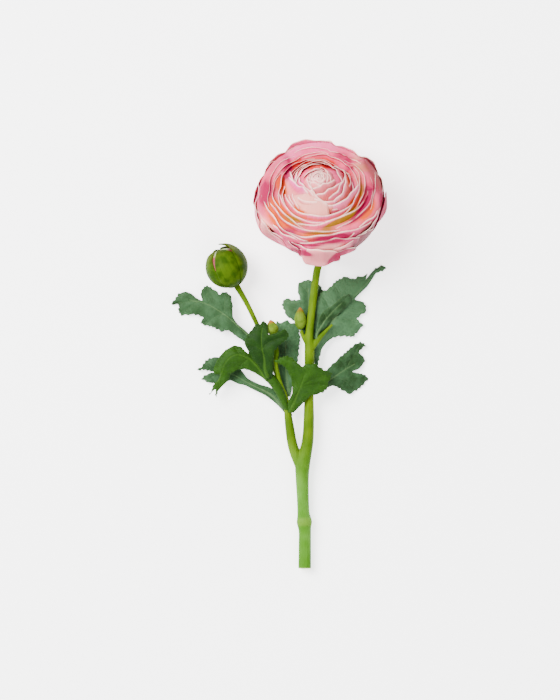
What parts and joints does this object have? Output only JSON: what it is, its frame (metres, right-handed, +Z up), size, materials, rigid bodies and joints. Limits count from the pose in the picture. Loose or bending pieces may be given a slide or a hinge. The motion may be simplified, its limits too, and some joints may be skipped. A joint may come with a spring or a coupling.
{
  "type": "ranunculus flower",
  "caption": "Cut ranunculus stem lying on its back: a full pink bloom of layered petals, a round green bud, small buds and lobed leaves.",
  "frame": {"origin": "centre of the small flat spot on the underside of the bloom, where it rests on the surface", "axes": "+Z up, away from the surface; +Y from the cut end of the stem towards the bloom; +X to the right in the picture"},
  "size_m": [0.1309, 0.2591, 0.0643],
  "materials": {
    "petal": "matte",
    "leaf": "matte",
    "dark_leaf": "matte",
    "stem": "satin",
    "bud": "satin",
    "bud_petal": "matte"
  },
  "bodies": {
    "root": {"stem": "stem", "calyx": "bud", "bloom": "petal", "large_bud_sepals": "bud", "large_bud_petals": "bud_petal", "small_bud_left": "bud", "small_bud_right": "bud", "leaf_left": "leaf", "leaf_left_top": "dark_leaf", "leaf_left_arch": "dark_leaf", "leaf_left_low": "leaf", "leaf_middle_back": "leaf", "leaf_middle_front": "dark_leaf", "leaf_right_low": "leaf", "leaf_right_high": "leaf", "leaf_stalk_back": "leaf"}
  },
  "joints": []
}
